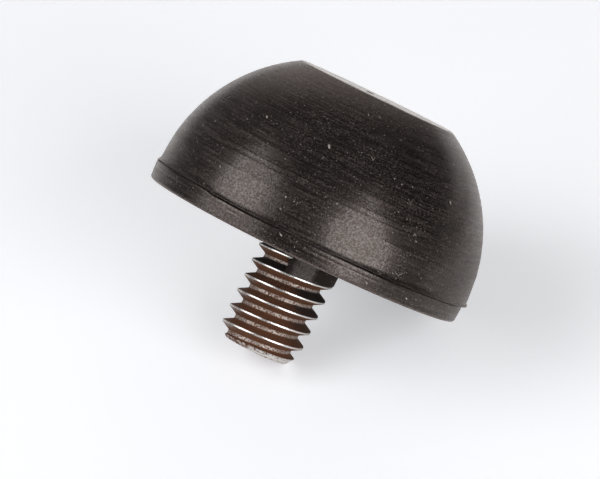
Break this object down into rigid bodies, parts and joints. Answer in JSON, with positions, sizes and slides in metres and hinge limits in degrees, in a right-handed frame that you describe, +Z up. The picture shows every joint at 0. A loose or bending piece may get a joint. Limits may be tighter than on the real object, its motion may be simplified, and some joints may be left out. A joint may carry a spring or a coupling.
{
  "type": "rubber foot with threaded stud",
  "caption": "Screw-in rubber foot: a flat-topped dome of black rubber with a moulding ridge, and a rusty threaded steel stud out of its base.",
  "frame": {"origin": "centre of the ground face, the flat of the dome that touches the floor", "axes": "+Z up along the stud, as the foot stands under a bench; -Y is the side that was seen, and +X is its left with the stud down"},
  "size_m": [0.0258, 0.0258, 0.0212],
  "materials": {
    "rubber": "satin black moulded rubber, dusty, with fine turned lines",
    "steel": "rusty steel with bright worn thread crests"
  },
  "bodies": {
    "root": {"rubber_body": "rubber", "threaded_stud": "steel"}
  },
  "joints": []
}
